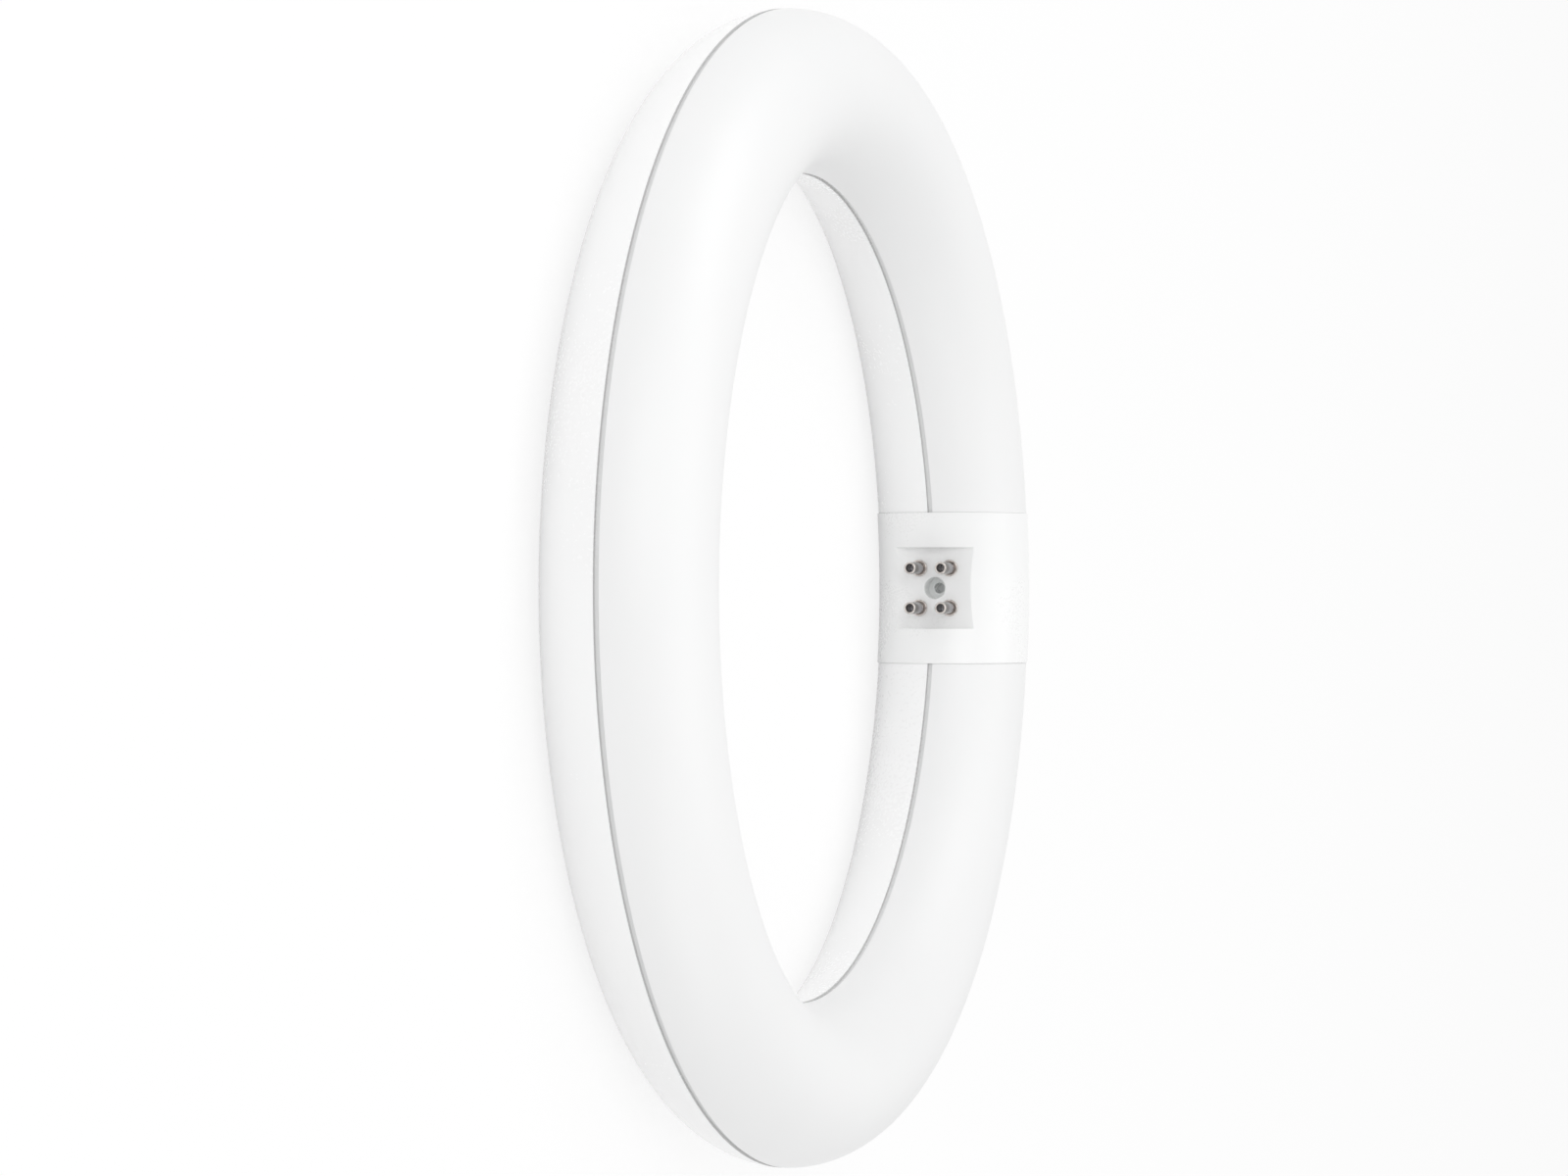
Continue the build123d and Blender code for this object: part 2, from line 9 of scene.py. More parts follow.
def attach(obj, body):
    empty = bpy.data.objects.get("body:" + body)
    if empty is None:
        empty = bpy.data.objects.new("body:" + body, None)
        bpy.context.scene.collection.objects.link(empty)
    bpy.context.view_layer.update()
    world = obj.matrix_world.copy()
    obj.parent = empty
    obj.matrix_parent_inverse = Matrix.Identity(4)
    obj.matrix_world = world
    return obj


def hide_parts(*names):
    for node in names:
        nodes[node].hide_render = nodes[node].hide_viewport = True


bl_info = {
    "name": "Circular LED Tube",
    "version": (1, 0, 0),
    "blender": (4, 5, 0),
    "location": "3D View > Sidebar > Ring Lamp",
    "description": "Builds the shells, collar and pins of a ring-shaped LED lamp and its studio",
    "category": "Object",
}

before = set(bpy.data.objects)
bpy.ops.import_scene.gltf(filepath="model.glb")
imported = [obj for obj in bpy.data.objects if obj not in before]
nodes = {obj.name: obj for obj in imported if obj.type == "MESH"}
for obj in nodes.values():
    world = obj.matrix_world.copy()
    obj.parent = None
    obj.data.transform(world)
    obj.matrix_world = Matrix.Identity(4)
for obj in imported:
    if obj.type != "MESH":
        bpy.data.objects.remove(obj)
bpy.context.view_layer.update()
BODY = "root"

# Vertices nearer than MERGE become one, and a vertex nearer to a cut than ON_PLANE lies on it
MERGE = 1e-6
ON_PLANE = 1e-8
# Turns a flat circle so that it faces along X
FACING = Matrix.Rotation(pi / 2, 4, "Y")
# Edges bent by more than these angles are shaded as sharp, or rounded where a piece is softened
SHARP_ANGLE = radians(35)
ROUNDED_ANGLE = radians(28)
BUMP_DISTANCE = 0.00002

# How finely the pieces are divided, apart from the shells, which have their own settings
LONGEST_STRETCH = 24
NECK_STEPS = 30
NECK_SWEEP_STEPS = 24
LIP_SWEEP_STEPS = 240
VENT_STEPS = 20
SKIN_STEPS = 96
COVER_STEPS = 72
ROUND_STEPS = 64
POST_STEPS = 48
END_ROWS = 22
POCKET_ROWS = 32

# Before they are trimmed, the necks reach too far by the first factor, and the lip by the second
NECK_OVERRUN = 1.2
LIP_START = 0.9
# The cut at a shell's end looks at faces up to this many times its own distance from the collar
TRIM_REACH = 3
# In radii of a vent: the faces that make way for it, and how far away their rim may lie
VENT_COUNT = 4
VENT_CLEARING = 1.75
VENT_REACH = 4
VENT_FACING = 0.9

# The Mix node repeats the names of its sockets, so those for a colour go by number
MIX_INPUTS = (0, 6, 7)
MIX_OUTPUT = 2

# Noise lies mostly in NOISE_RANGE, and stretched across X it shows as rings round X
NOISE_RANGE = (0.3, 0.7)
RINGED = (1.0, 0.02, 0.02)
PIN_MARK_SCALE = 9000.0
PIN_STAIN_SCALE = 1100.0
TARNISH_SCALE = 700.0
WINDING_SCALE = 900.0

# Where a pin's painted light changes, as shares of its height from the tip on, and the tone that
# follows:
# painted highlight on the rim and flange, painted shade behind the rim and a darker painted shank
PIN_PAINTED_BANDS = [
    (0.025, 0.045, "Band colour"),
    (0.3, 0.42, "Shank colour"),
    (0.885, 0.905, "Rim colour"),
]

# Name, place, width and height, and the setting for the watts of each lamp
SOFT_BOXES = [
    ("main soft box", (-0.9, 0.35, 0.6), (0.6, 0.8), "main"),
    ("side soft box", (0.1, 0.85, 0.8), (0.7, 0.7), "side"),
    ("fill soft box", (-0.3, -0.9, 0.7), (0.7, 0.7), "fill"),
    ("overhead soft box", (0, 0, 1.3), (1.2, 1.2), "overhead"),
]
SENSOR_WIDTH = 36.0
NEAREST_SEEN = 0.01


def length(name, default, text):
    return FloatProperty(name=name, description=text, default=default, unit="LENGTH", precision=5)


def angle(name, default, text):
    return FloatProperty(name=name, description=text, default=radians(default), subtype="ANGLE")


def amount(name, default, text):
    return FloatProperty(name=name, description=text, default=default)


def colour(name, default, text):
    return FloatVectorProperty(
        name=name, description=text, default=default, subtype="COLOR", size=3, min=0, max=1
    )


class RingSizes(bpy.types.PropertyGroup):
    """The two half shells of the tube."""

    ring_radius: length("Ring radius", 0.09065, "From the ring's axis to the tube's centre line")
    tube_radius: length("Tube radius", 0.01485, "Outside radius of the round tube")
    middle: length("Middle plane", 0.0151, "Height of the ring's middle plane above the table")
    wall: length("Wall", 0.0018, "Thickness of both shells")
    seam_width: length("Seam width", 0.001, "Width of the sunk line between the shells")
    seam_depth: length("Seam depth", 0.0005, "Depth of the sunk line between the shells")
    neck_outer: length("Neck outside", 0.0135, "Outside radius of the necks in the collar")
    neck_inner: length("Neck inside", 0.012, "Inside radius of the necks in the collar")
    neck_end: length("Neck end", 0.0098, "Distance of the necks' ends from the collar's middle")
    neck_root: length("Neck root", 0.0167, "How far the necks reach back into the shells")
    lip_outer: length("Lip outside", 0.01275, "Offset of the lip's outer face")
    lip_inner: length("Lip inside", 0.0119, "Offset of the lip's inner face")
    lip_height: length("Lip height", 0.002, "How far the back shell's lip stands into the front")
    lip_root: length("Lip root", 0.0022, "How far the lip's root reaches behind the middle plane")
    lip_end: length("Lip end", 0.0179, "Where the lip stops before the collar")
    lip_sink: length("Lip sink", 0.0001, "How far the lip's root stays below the rim")
    vent_radius: length("Vent radius", 0.00055, "Radius of the four vents in the back shell")
    vent_start: angle("First vent", 17.5, "Place of the first vent on the ring")
    vent_step: angle("Vent step", 5.0, "Angle between two vents on the ring")
    vent_lean: angle("Vent lean", 18.7, "How far the vents lean towards the ring's axis")
    ring_steps: IntProperty(
        name="Ring steps", description="Faces round the whole ring", default=720, min=72
    )
    section_steps: IntProperty(
        name="Section steps", description="Faces round half of the tube", default=60, min=12
    )


class CollarSizes(bpy.types.PropertyGroup):
    """The collar with its recess and stepped hole."""

    radius: length("Collar radius", 0.0151, "Outside radius of the collar")
    wall: length("Collar wall", 0.0015, "Thickness of the collar's wall")
    half_length: length("Half length", 0.015, "From the collar's middle to each end face")
    gap: length("Gap", 0.00003, "Room between the collar's ends and the shells")
    parting: angle("Parting", 72.0, "Where the collar's two parts meet, from outwards")
    parting_gap: angle("Parting gap", 0.2, "Room between the collar's two parts")
    floor_x: length("Recess floor", 0.0775, "Distance of the recess floor from the ring's axis")
    recess_half: length("Recess half length", 0.00805, "Half of the recess along the tube")
    floor_wall: length("Floor wall", 0.0018, "Thickness of the recess floor")
    hole_radius: length("Counterbore radius", 0.002175, "Radius of the wide part of the hole")
    hole_depth: length("Counterbore depth", 0.0031, "Depth of the wide part of the hole")
    bore_radius: length("Through hole radius", 0.00105, "Radius of the narrow part of the hole")
    bore_depth: length("Through hole depth", 0.0016, "Length of the narrow part of the hole")
    boss_wall: length("Boss wall", 0.001, "Wall round the hole behind the recess floor")
    post_radius: length("Post radius", 0.00275, "Radius of the cover's post behind the hole")
    post_gap: length("Post gap", 0.0001, "Room between the hole and the post")
    pilot_radius: length("Pilot radius", 0.00085, "Radius of the screw hole in the post")
    pilot_depth: length("Pilot depth", 0.0004, "Depth of the screw hole in the post")
    softness: length("Edge radius", 0.0001, "Rounding of the collar's moulded edges")
    snap: length("Snap", 0.00014, "Vertices this near to the recess floor are moved onto it")
    # Painted shade in the stepped hole: a sphere round this depth greys the collar's plastic.
    painted_shade_depth: length("Shade depth", 0.0028, "Depth of the middle of the hole's grey shade")
    painted_hole_shade: colour("Hole shade", (0.90, 0.912, 0.906), "The plastic inside the stepped hole")


class PinSizes(bpy.types.PropertyGroup):
    """The four hollow contact pins."""

    spacing_along: length("Spacing along", 0.00792, "Distance of the pins along the tube")
    spacing_across: length("Spacing across", 0.00635, "Distance of the pins across the tube")
    radius: length("Pin radius", 0.00118, "Radius of the smooth part of a pin")
    height: length("Pin height", 0.0066, "How far a pin stands above the recess floor")
    bore_radius: length("Bore radius", 0.00083, "Radius of the hole in a pin's tip")
    bore_depth: length("Bore depth", 0.0031, "Depth of the hole in a pin's tip")
    flange_radius: length("Flange radius", 0.00165, "Radius of the flange on the recess floor")
    flange_height: length("Flange height", 0.0006, "Thickness of the flange")
    groove_radius: length("Groove radius", 0.0013, "Radius of the sunk ring on the flange")
    groove_depth: length("Groove depth", 0.00025, "Depth of the sunk ring on the flange")
    shank_radius: length("Shank radius", 0.00095, "Radius of the shank behind the flange")
    rivet_radius: length("Rivet radius", 0.0013, "Radius of the rivet behind the floor")
    rivet_start: length("Rivet start", 0.00185, "Depth of the rivet's face below the floor")
    rivet_height: length("Rivet height", 0.00035, "Thickness of the rivet")
    cup_length: length("Cup length", 0.0016, "Length of the solder cup")
    cup_radius: length("Cup radius", 0.0006, "Radius of the solder cup's hole")
    cup_depth: length("Cup depth", 0.0014, "Depth of the solder cup's hole")
    rounding: length("Rounding", 0.00009, "Rounding of the turned edges")


class LampColours(bpy.types.PropertyGroup):
    """The colours of the lamp's outside."""

    opal: colour("Opal front", (0.88, 0.881, 0.881), "Satin opal plastic")
    opal_shade: colour("Opal shade", (0.865, 0.867, 0.868), "The same plastic where it is thicker")
    white: colour("White back", (0.955, 0.955, 0.955), "Moulded white plastic of the back shell")
    white_shade: colour("White shade", (0.945, 0.946, 0.947), "Its slow change of tone")
    collar: colour("Collar", (0.92, 0.923, 0.921), "Moulded white plastic of the collar")
    collar_shade: colour("Collar shade", (0.905, 0.909, 0.907), "Its slow change of tone")
    # Painted shade in the sunk line between the shells: grey at its bottom and darker along both
    # sides.
    seam: colour("Seam", (0.80, 0.803, 0.803), "Bottom of the sunk line between the shells")
    seam_side_painted_shade: colour("Seam side", (0.66, 0.66, 0.66), "Both sides of the sunk line")
    # Painted light on one plating: highlight on the rim and flange, shade in the band behind the
    # rim, which also gives the tarnish, and a shank painted darker as a dark reflection.
    pin: colour("Pin rim", (0.60, 0.56, 0.53), "Bright plating on a pin's rim and flange")
    pin_painted_shade_and_tarnish: colour("Pin band", (0.16, 0.145, 0.135), "Dark band behind the rim, and tarnish")
    pin_shank_painted_reflection: colour("Pin shank", (0.34, 0.335, 0.35), "Grey plating of the shank")
    floor: colour("Floor", (0.97, 0.97, 0.97), "The table that the lamp lies on")


class StudioSizes(bpy.types.PropertyGroup):
    """The lights, the floor and the camera."""

    sky: amount("Sky", 0.58, "Brightness of the room")
    main: amount("Main", 2.3, "Watts of the soft box beside the camera")
    side: amount("Side", 2.6, "Watts of the soft box on the side of +Y")
    fill: amount("Fill", 1.7, "Watts of the soft box on the side of -Y")
    overhead: amount("Overhead", 3.6, "Watts of the wide soft box overhead")
    shadow: amount("Shadow", 0.16, "How strongly the floor shows the shadow")
    floor_size: length("Floor size", 12.0, "Side of the square floor")
    camera_distance: length("Camera distance", 0.8457, "From the camera to the ring's centre")
    camera_height: angle("Camera height", 19.0, "The camera's angle above the table")
    lens: amount("Lens", 105.96, "Focal length in millimetres")
    shift: amount("Shift", -0.01536, "Sideways shift of the picture")


GROUPS = {
    "lamp_ring": RingSizes,
    "lamp_collar": CollarSizes,
    "lamp_pins": PinSizes,
    "lamp_colours": LampColours,
    "lamp_studio": StudioSizes,
}


# Shader node groups

FLOAT, RGBA = "NodeSocketFloat", "NodeSocketColor"


def feed(tree, socket, source):
    """Gives an input its value, or links it to the socket that feeds it."""
    if isinstance(source, bpy.types.NodeSocket):
        tree.links.new(source, socket)
    else:
        socket.default_value = source


def put(tree, kind, links, **settings):
    """A node with its settings, and its inputs by name: a value, or the socket that feeds it."""
    node = tree.nodes.new(kind)
    for key, value in settings.items():
        setattr(node, key, value)
    for name, source in links.items():
        feed(tree, node.inputs[name], source)
    return node


def mix_colours(tree, factor, first, second):
    """A colour between two."""
    node = put(tree, "ShaderNodeMix", {}, data_type="RGBA")
    for number, source in zip(MIX_INPUTS, (factor, first, second)):
        feed(tree, node.inputs[number], source)
    return node.outputs[MIX_OUTPUT]


def spread(tree, value, low, high, to_low=0.0, to_high=1.0):
    """A number stretched from one range to another and held inside it."""
    links = {"Value": value, "From Min": low, "From Max": high, "To Min": to_low, "To Max": to_high}
    return put(tree, "ShaderNodeMapRange", links).outputs["Result"]


def noise(tree, place, scale, detail=2.0):
    """Noise at a place, mostly in NOISE_RANGE."""
    links = {"Vector": place, "Scale": scale, "Detail": detail}
    return put(tree, "ShaderNodeTexNoise", links).outputs["Fac"]


def arithmetic(tree, operation, first, second):
    """The result of a sum with two numbers."""
    node = put(tree, "ShaderNodeMath", {}, operation=operation)
    for socket, source in zip(node.inputs, (first, second)):
        feed(tree, socket, source)
    return node.outputs[0]


def seen_rays(tree):
    """1 for the rays that show the backdrop: the camera's, reflected ones and those through."""
    path = put(tree, "ShaderNodeLightPath", {}).outputs
    seen = arithmetic(tree, "MAXIMUM", path["Is Camera Ray"], path["Is Glossy Ray"])
    return arithmetic(tree, "MAXIMUM", seen, path["Is Transmission Ray"])


def end_in_blend(tree, share, first, second, output):
    """Leads a blend of two shaders to the tree's output."""
    blend = put(tree, "ShaderNodeMixShader", {"Fac": share})
    tree.links.new(first.outputs[0], blend.inputs[1])
    tree.links.new(second.outputs[0], blend.inputs[2])
    tree.links.new(blend.outputs[0], tree.nodes[output].inputs["Surface"])


def new_group(name, inputs, outputs):
    """An empty node group with named inputs (name, kind, default) and outputs (name, kind)."""
    group = bpy.data.node_groups.new(name, "ShaderNodeTree")
    for label, kind, default in inputs:
        socket = group.interface.new_socket(name=label, in_out="INPUT", socket_type=kind)
        socket.default_value = default
    for label, kind in outputs:
        group.interface.new_socket(name=label, in_out="OUTPUT", socket_type=kind)
    given = group.nodes.new("NodeGroupInput").outputs
    place = put(group, "ShaderNodeTexCoord", {}).outputs["Object"]
    return group, given, place


def close_group(group, **results):
    """Leads the results to the group's outputs of the same names."""
    out = group.nodes.new("NodeGroupOutput")
    for name, source in results.items():
        group.links.new(source, out.inputs[name])
    return group


MOULDED = [
    ("Colour", RGBA, (1, 1, 1, 1)),
    ("Shade", RGBA, (1, 1, 1, 1)),
    ("Cloud scale", FLOAT, 25.0),
    ("Grain scale", FLOAT, 2200.0),
    ("Roughness", FLOAT, 0.4),
    ("Gloss change", FLOAT, 0.05),
]
SURFACE = [("Colour", RGBA), ("Roughness", FLOAT), ("Height", FLOAT)]


def moulded_nodes(group, given, place):
    """Slow clouds of tone, uneven gloss and a fine eroded grain."""
    clouds = noise(group, place, given["Cloud scale"], 4.0)
    grain = noise(group, place, given["Grain scale"], 3.0)
    tone = mix_colours(group, spread(group, clouds, 0.35, 0.65), given["Colour"], given["Shade"])
    patches = spread(group, clouds, *NOISE_RANGE, -1.0, 1.0)
    speckle = spread(group, grain, *NOISE_RANGE, -0.5, 0.5)
    change = arithmetic(group, "ADD", patches, speckle)
    change = arithmetic(group, "MULTIPLY", change, given["Gloss change"])
    rough = arithmetic(group, "ADD", given["Roughness"], change)
    return tone, rough, grain


def moulded_group():
    """Moulded plastic."""
    group, given, place = new_group("moulded plastic", MOULDED, SURFACE)
    tone, rough, grain = moulded_nodes(group, given, place)
    return close_group(group, Colour=tone, Roughness=rough, Height=grain)


def seamed_group():
    """Moulded plastic with painted shade in the sunk line round the tube: grey inside and darker
    along both sides.
    """
    line = [
        ("Line colour", RGBA, (1, 1, 1, 1)),
        ("Side colour", RGBA, (1, 1, 1, 1)),
        ("Level", FLOAT, 0.015),
        ("Half width", FLOAT, 0.0005),
    ]
    group, given, place = new_group("seamed plastic", MOULDED + line, SURFACE)
    tone, rough, grain = moulded_nodes(group, given, place)
    # Mask of the painted shade in the sunk line, darkest towards both of its sides.
    level = put(group, "ShaderNodeSeparateXYZ", {"Vector": place}).outputs["Z"]
    away = arithmetic(group, "SUBTRACT", level, given["Level"])
    away = arithmetic(group, "ABSOLUTE", away, 0.0)
    inside = arithmetic(group, "LESS_THAN", away, given["Half width"])
    side = spread(group, arithmetic(group, "DIVIDE", away, given["Half width"]), 0.55, 0.85)
    sunk = mix_colours(group, side, given["Line colour"], given["Side colour"])
    tone = mix_colours(group, inside, tone, sunk)
    return close_group(group, Colour=tone, Roughness=rough, Height=grain)


def painted_hole_shade_group():
    """Moulded plastic with painted shade inside one hole, where it is greyer."""
    hole = [
        ("Hole colour", RGBA, (1, 1, 1, 1)),
        ("Hole centre", "NodeSocketVector", (0, 0, 0)),
        ("Hole reach", FLOAT, 0.001),
    ]
    group, given, place = new_group("holed plastic", MOULDED + hole, SURFACE)
    tone, rough, grain = moulded_nodes(group, given, place)
    gap = put(group, "ShaderNodeVectorMath", {}, operation="DISTANCE")
    group.links.new(place, gap.inputs[0])
    group.links.new(given["Hole centre"], gap.inputs[1])
    inside = arithmetic(group, "LESS_THAN", gap.outputs["Value"], given["Hole reach"])
    tone = mix_colours(group, inside, tone, given["Hole colour"])
    return close_group(group, Colour=tone, Roughness=rough, Height=grain)


def turning_marks(group, place, scale, roughness):
    """Fine rings round an axis along X, and the uneven roughness that comes of them."""
    along = put(group, "ShaderNodeMapping", {"Vector": place, "Scale": RINGED})
    marks = noise(group, along.outputs["Vector"], scale)
    rough = arithmetic(group, "ADD", roughness, spread(group, marks, *NOISE_RANGE, -0.05, 0.08))
    return marks, rough


def plated_group():
    """Plated pins along X: painted highlight on the rim and flange, painted shade behind the rim, a
    shank painted darker grey as a dark reflection.
    """
    group, given, place = new_group(
        "plated pin",
        [
            ("Rim colour", RGBA, (1, 1, 1, 1)),
            ("Band colour", RGBA, (1, 1, 1, 1)),
            ("Shank colour", RGBA, (1, 1, 1, 1)),
            ("Tip", FLOAT, 0.0),
            ("Foot", FLOAT, 0.01),
            ("Roughness", FLOAT, 0.2),
        ],
        SURFACE,
    )
    level = put(group, "ShaderNodeSeparateXYZ", {"Vector": place}).outputs["X"]
    # Painted highlight and shade in bands along the pin, by height from the tip.
    share = spread(group, level, given["Tip"], given["Foot"])
    tone = given["Rim colour"]
    for low, high, name in PIN_PAINTED_BANDS:
        tone = mix_colours(group, spread(group, share, low, high), tone, given[name])
    stain = spread(group, noise(group, place, PIN_STAIN_SCALE, 3.0), 0.5, 0.7, 0.0, 0.45)
    tone = mix_colours(group, stain, tone, given["Band colour"])
    marks, rough = turning_marks(group, place, PIN_MARK_SCALE, given["Roughness"])
    return close_group(group, Colour=tone, Roughness=rough, Height=marks)


def turned_group():
    """Turned metal: fine rings round an axis along X, with tarnish in patches."""
    group, given, place = new_group(
        "turned metal",
        [
            ("Colour", RGBA, (1, 1, 1, 1)),
            ("Tarnish", RGBA, (1, 1, 1, 1)),
            ("Line scale", FLOAT, 9000.0),
            ("Roughness", FLOAT, 0.22),
        ],
        SURFACE,
    )
    marks, rough = turning_marks(group, place, given["Line scale"], given["Roughness"])
    patches = spread(group, noise(group, place, TARNISH_SCALE, 3.0), 0.45, 0.75)
    stain = arithmetic(group, "MULTIPLY", patches, spread(group, marks, *NOISE_RANGE, 0.5, 1.0))
    tone = mix_colours(group, stain, given["Colour"], given["Tarnish"])
    return close_group(group, Colour=tone, Roughness=rough, Height=marks)


def wound_group():
    """Wound wire or tape: even turns along Z with a little unevenness."""
    group, given, place = new_group(
        "wound turns",
        [
            ("Colour", RGBA, (1, 1, 1, 1)),
            ("Gap colour", RGBA, (0, 0, 0, 1)),
            ("Turns", FLOAT, 500.0),
            ("Roughness", FLOAT, 0.35),
        ],
        SURFACE,
    )
    wave = put(
        group,
        "ShaderNodeTexWave",
        {"Vector": place, "Scale": given["Turns"], "Distortion": 0.6, "Detail": 1.0},
        bands_direction="Z",
    ).outputs["Fac"]
    tone = mix_colours(group, spread(group, wave, 0.0, 0.35), given["Gap colour"], given["Colour"])
    uneven = spread(group, noise(group, place, WINDING_SCALE), *NOISE_RANGE, -0.05, 0.05)
    rough = arithmetic(group, "ADD", given["Roughness"], uneven)
    return close_group(group, Colour=tone, Roughness=rough, Height=wave)


EFFECT_MAKERS = {
    "moulded": moulded_group,
    "seamed": seamed_group,
    "holed": painted_hole_shade_group,
    "plated": plated_group,
    "turned": turned_group,
    "wound": wound_group,
}
effects = {}


def effect(name):
    """One of the shared effects, made when it is first asked for."""
    if name not in effects:
        effects[name] = EFFECT_MAKERS[name]()
    return effects[name]


def material(name, kind, values, bump, metal=0.0):
    """A material whose colour, roughness and bump come from one of the shared effects."""
    made = bpy.data.materials.new(name)
    made.use_nodes = True
    tree = made.node_tree
    shader = tree.nodes["Principled BSDF"]
    group = put(tree, "ShaderNodeGroup", {}, node_tree=effect(kind))
    for key, value in values.items():
        socket = group.inputs[key]
        socket.default_value = (*value, 1) if socket.type == "RGBA" else value
    tree.links.new(group.outputs["Colour"], shader.inputs["Base Color"])
    tree.links.new(group.outputs["Roughness"], shader.inputs["Roughness"])
    relief = {"Height": group.outputs["Height"], "Strength": bump, "Distance": BUMP_DISTANCE}
    surface = put(tree, "ShaderNodeBump", relief)
    tree.links.new(surface.outputs["Normal"], shader.inputs["Normal"])
    shader.inputs["Metallic"].default_value = metal
    return made


# Mesh helpers


def arc(bm, centre, radius, start, sweep, steps):
    """Edges round a point of the XZ plane. Angles go from outwards to the front."""
    first = bm.verts.new(centre + radius * Vector((cos(start), 0, sin(start))))
    made = bmesh.ops.spin(
        bm, geom=[first], cent=centre, axis=(0, -1, 0), angle=sweep, steps=steps
    )
    last = next(g for g in made["geom_last"] if isinstance(g, bmesh.types.BMVert))
    return first, last


def chain(bm, start, places, end=None):
    """Edges from a vertex through some places, and on to a last vertex."""
    for place in places:
        step = bm.verts.new(place)
        bm.edges.new((start, step))
        start = step
    if end:
        bm.edges.new((start, end))
    return start


def sweep_ring(bm, start, sweep, steps):
    """Sweeps a section of the XZ plane round the ring's axis, from one angle of the ring on.

    The first stretch is spun, and the others are turned copies of it, which is much quicker."""
    stretch = next(n for n in range(LONGEST_STRETCH, 0, -1) if steps % n == 0)
    share = sweep * stretch / steps
    bmesh.ops.rotate(bm, verts=bm.verts, cent=(0, 0, 0), matrix=Matrix.Rotation(start, 3, "Z"))
    section = [*bm.verts, *bm.edges]
    bmesh.ops.spin(bm, geom=section, cent=(0, 0, 0), axis=(0, 0, 1), angle=share, steps=stretch)
    first = [*bm.verts, *bm.edges, *bm.faces]
    for number in range(1, steps // stretch):
        copy = bmesh.ops.duplicate(bm, geom=first)["geom"]
        verts = [g for g in copy if isinstance(g, bmesh.types.BMVert)]
        bmesh.ops.rotate(
            bm, verts=verts, cent=(0, 0, 0), matrix=Matrix.Rotation(number * share, 3, "Z")
        )
    bmesh.ops.remove_doubles(bm, verts=bm.verts, dist=MERGE)


def join(bm, other):
    """Adds another mesh to this one, and returns the faces that came."""
    mesh = bpy.data.meshes.new("part")
    other.to_mesh(mesh)
    other.free()
    known = len(bm.faces)
    bm.from_mesh(mesh)
    bpy.data.meshes.remove(mesh)
    bm.faces.ensure_lookup_table()
    return bm.faces[known:]


def around(faces):
    """A set of faces with their edges and vertices."""
    edges = {e for f in faces for e in f.edges}
    verts = {v for f in faces for v in f.verts}
    return [*faces, *edges, *verts]


def slice_off(bm, faces, place, normal, clear=True):
    """Cuts faces with a plane, and clears what lies behind it."""
    place, normal = Vector(place), Vector(normal)
    cut = bmesh.ops.bisect_plane(
        bm, geom=around(faces), dist=ON_PLANE, plane_co=place, plane_no=normal
    )
    if clear:
        parts = [g for g in cut["geom"] if isinstance(g, bmesh.types.BMFace)]
        gone = [f for f in parts if (f.calc_center_median() - place).dot(normal) < 0]
        bmesh.ops.delete(bm, geom=gone, context="FACES")


def rim_edges(bm, axis, value):
    """Open edges that lie in a plane across one of the axes."""
    rims = [e for e in bm.edges if e.is_boundary or e.is_wire]
    return [e for e in rims if all(abs(v.co[axis] - value) < MERGE for v in e.verts)]


def piece(name, bm, surface, replaced):
    """Closes a mesh into a finished piece that stands for its CAD nodes."""
    bmesh.ops.recalc_face_normals(bm, faces=bm.faces)
    mesh = bpy.data.meshes.new(name)
    bm.to_mesh(mesh)
    bm.free()
    mesh.shade_smooth()
    mesh.set_sharp_from_angle(angle=SHARP_ANGLE)
    made = bpy.data.objects.new(name, mesh)
    bpy.context.scene.collection.objects.link(made)
    mesh.materials.append(surface)
    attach(made, BODY)
    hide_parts(*replaced)
    return made


def dress(surface, *names):
    """Gives CAD nodes that stay as they are their own material."""
    for name in names:
        mesh = nodes[name].data
        mesh.materials.clear()
        mesh.materials.append(surface)


def shell_section(bm, ring, hand):
    """The closed outline of a half shell: outer arc, stepped rims and inner arc."""
    centre = Vector((ring.ring_radius, 0, ring.middle))
    half_seam = ring.seam_width / 2
    inner = ring.tube_radius - ring.wall
    skirt = asin(half_seam / ring.tube_radius)
    outer_ends = arc(
        bm, centre, ring.tube_radius, hand * skirt, hand * (pi - 2 * skirt), ring.section_steps
    )
    inner_ends = arc(bm, centre, inner, 0, hand * pi, ring.section_steps // 2)
    for side, outside, inside in zip((1, -1), outer_ends, inner_ends):
        step = side * (ring.tube_radius - ring.seam_depth)
        rim = [centre + Vector((step, 0, hand * half_seam)), centre + Vector((step, 0, 0))]
        chain(bm, outside, rim, inside)


def trim_ends(bm, end):
    """Cuts a swept ring with the flat planes on both sides of the collar and closes the cuts."""
    for hand in (1, -1):
        near = [f for f in bm.faces if f.calc_center_median().x > 0]
        near = [f for f in near if 0 < hand * f.calc_center_median().y < TRIM_REACH * end]
        slice_off(bm, near, (0, hand * end, 0), (0, hand, 0))
        bmesh.ops.holes_fill(bm, edges=rim_edges(bm, 1, hand * end))


def keep_between(bm, low, high):
    """Keeps what lies between two planes across the collar's length, and closes the cuts."""
    for plane, normal in ((low, 1), (high, -1)):
        slice_off(bm, bm.faces, (0, plane, 0), (0, normal, 0))
        bmesh.ops.holes_fill(bm, edges=rim_edges(bm, 1, plane))


